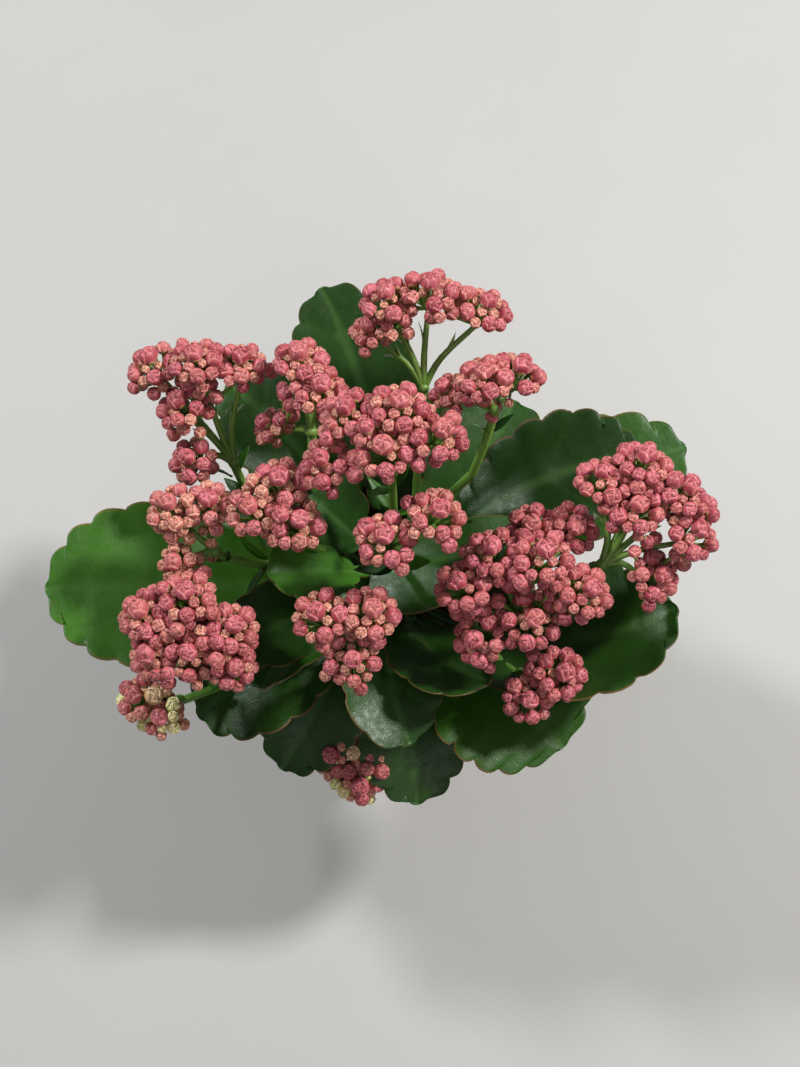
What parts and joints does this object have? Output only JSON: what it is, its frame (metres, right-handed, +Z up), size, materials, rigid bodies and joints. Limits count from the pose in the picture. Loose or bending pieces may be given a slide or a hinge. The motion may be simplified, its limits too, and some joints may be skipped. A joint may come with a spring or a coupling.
{
  "type": "potted kalanchoe",
  "caption": "Double-flowered kalanchoe in bud: domed heads of round rosy buds above scalloped fleshy leaves, in a round grower's pot.",
  "frame": {"origin": "centre of the pot's flat base", "axes": "+Z up along the pot's axis; -Y is the plant's front, the side that the picture looks down on; +X to the right seen from the front"},
  "size_m": [0.258, 0.1975, 0.2355],
  "materials": {
    "pot": "satin",
    "soil": "matte",
    "stem": "satin",
    "leaf": "satin",
    "flower_bud": "matte"
  },
  "bodies": {
    "root": {"pot": "pot", "soil": "soil", "stem": "stem", "stalk_back_left_outer": "stem", "stalk_back_left_inner": "stem", "stalk_centre": "stem", "stalk_front_centre": "stem", "stalk_left_inner": "stem", "stalk_left_outer": "stem", "stalk_front_left": "stem", "stalk_low_left": "stem", "stalk_front": "stem", "stalk_front_right": "stem", "stalk_low_right": "stem", "stalk_right_inner": "stem", "stalk_right_outer": "stem", "stalk_back": "stem", "stalk_back_right": "stem", "stalk_low_front": "stem", "head_back_left_outer": "flower_bud", "head_back_left_inner": "flower_bud", "head_centre": "flower_bud", "head_front_centre": "flower_bud", "head_left_inner": "flower_bud", "head_left_outer": "flower_bud", "head_front_left": "flower_bud", "head_low_left": "flower_bud", "head_front": "flower_bud", "head_front_right": "flower_bud", "head_low_right": "flower_bud", "head_right_inner": "flower_bud", "head_right_outer": "flower_bud", "head_back": "flower_bud", "head_back_right": "flower_bud", "head_low_front": "flower_bud", "leaf_back_left_top": "leaf", "leaf_back_left": "leaf", "leaf_back": "leaf", "leaf_back_right": "leaf", "leaf_right_back_top": "leaf", "leaf_right_back": "leaf", "leaf_left": "leaf", "leaf_left_back": "leaf", "leaf_left_low": "leaf", "leaf_front_left_low": "leaf", "leaf_front_left_top": "leaf", "leaf_front_top": "leaf", "leaf_front_right_top": "leaf", "leaf_right_front": "leaf", "leaf_right_front_low": "leaf", "leaf_front_low": "leaf", "leaf_left_middle": "leaf", "leaf_left_small": "leaf", "leaf_back_left_small": "leaf", "leaf_right_small": "leaf"}
  },
  "joints": []
}
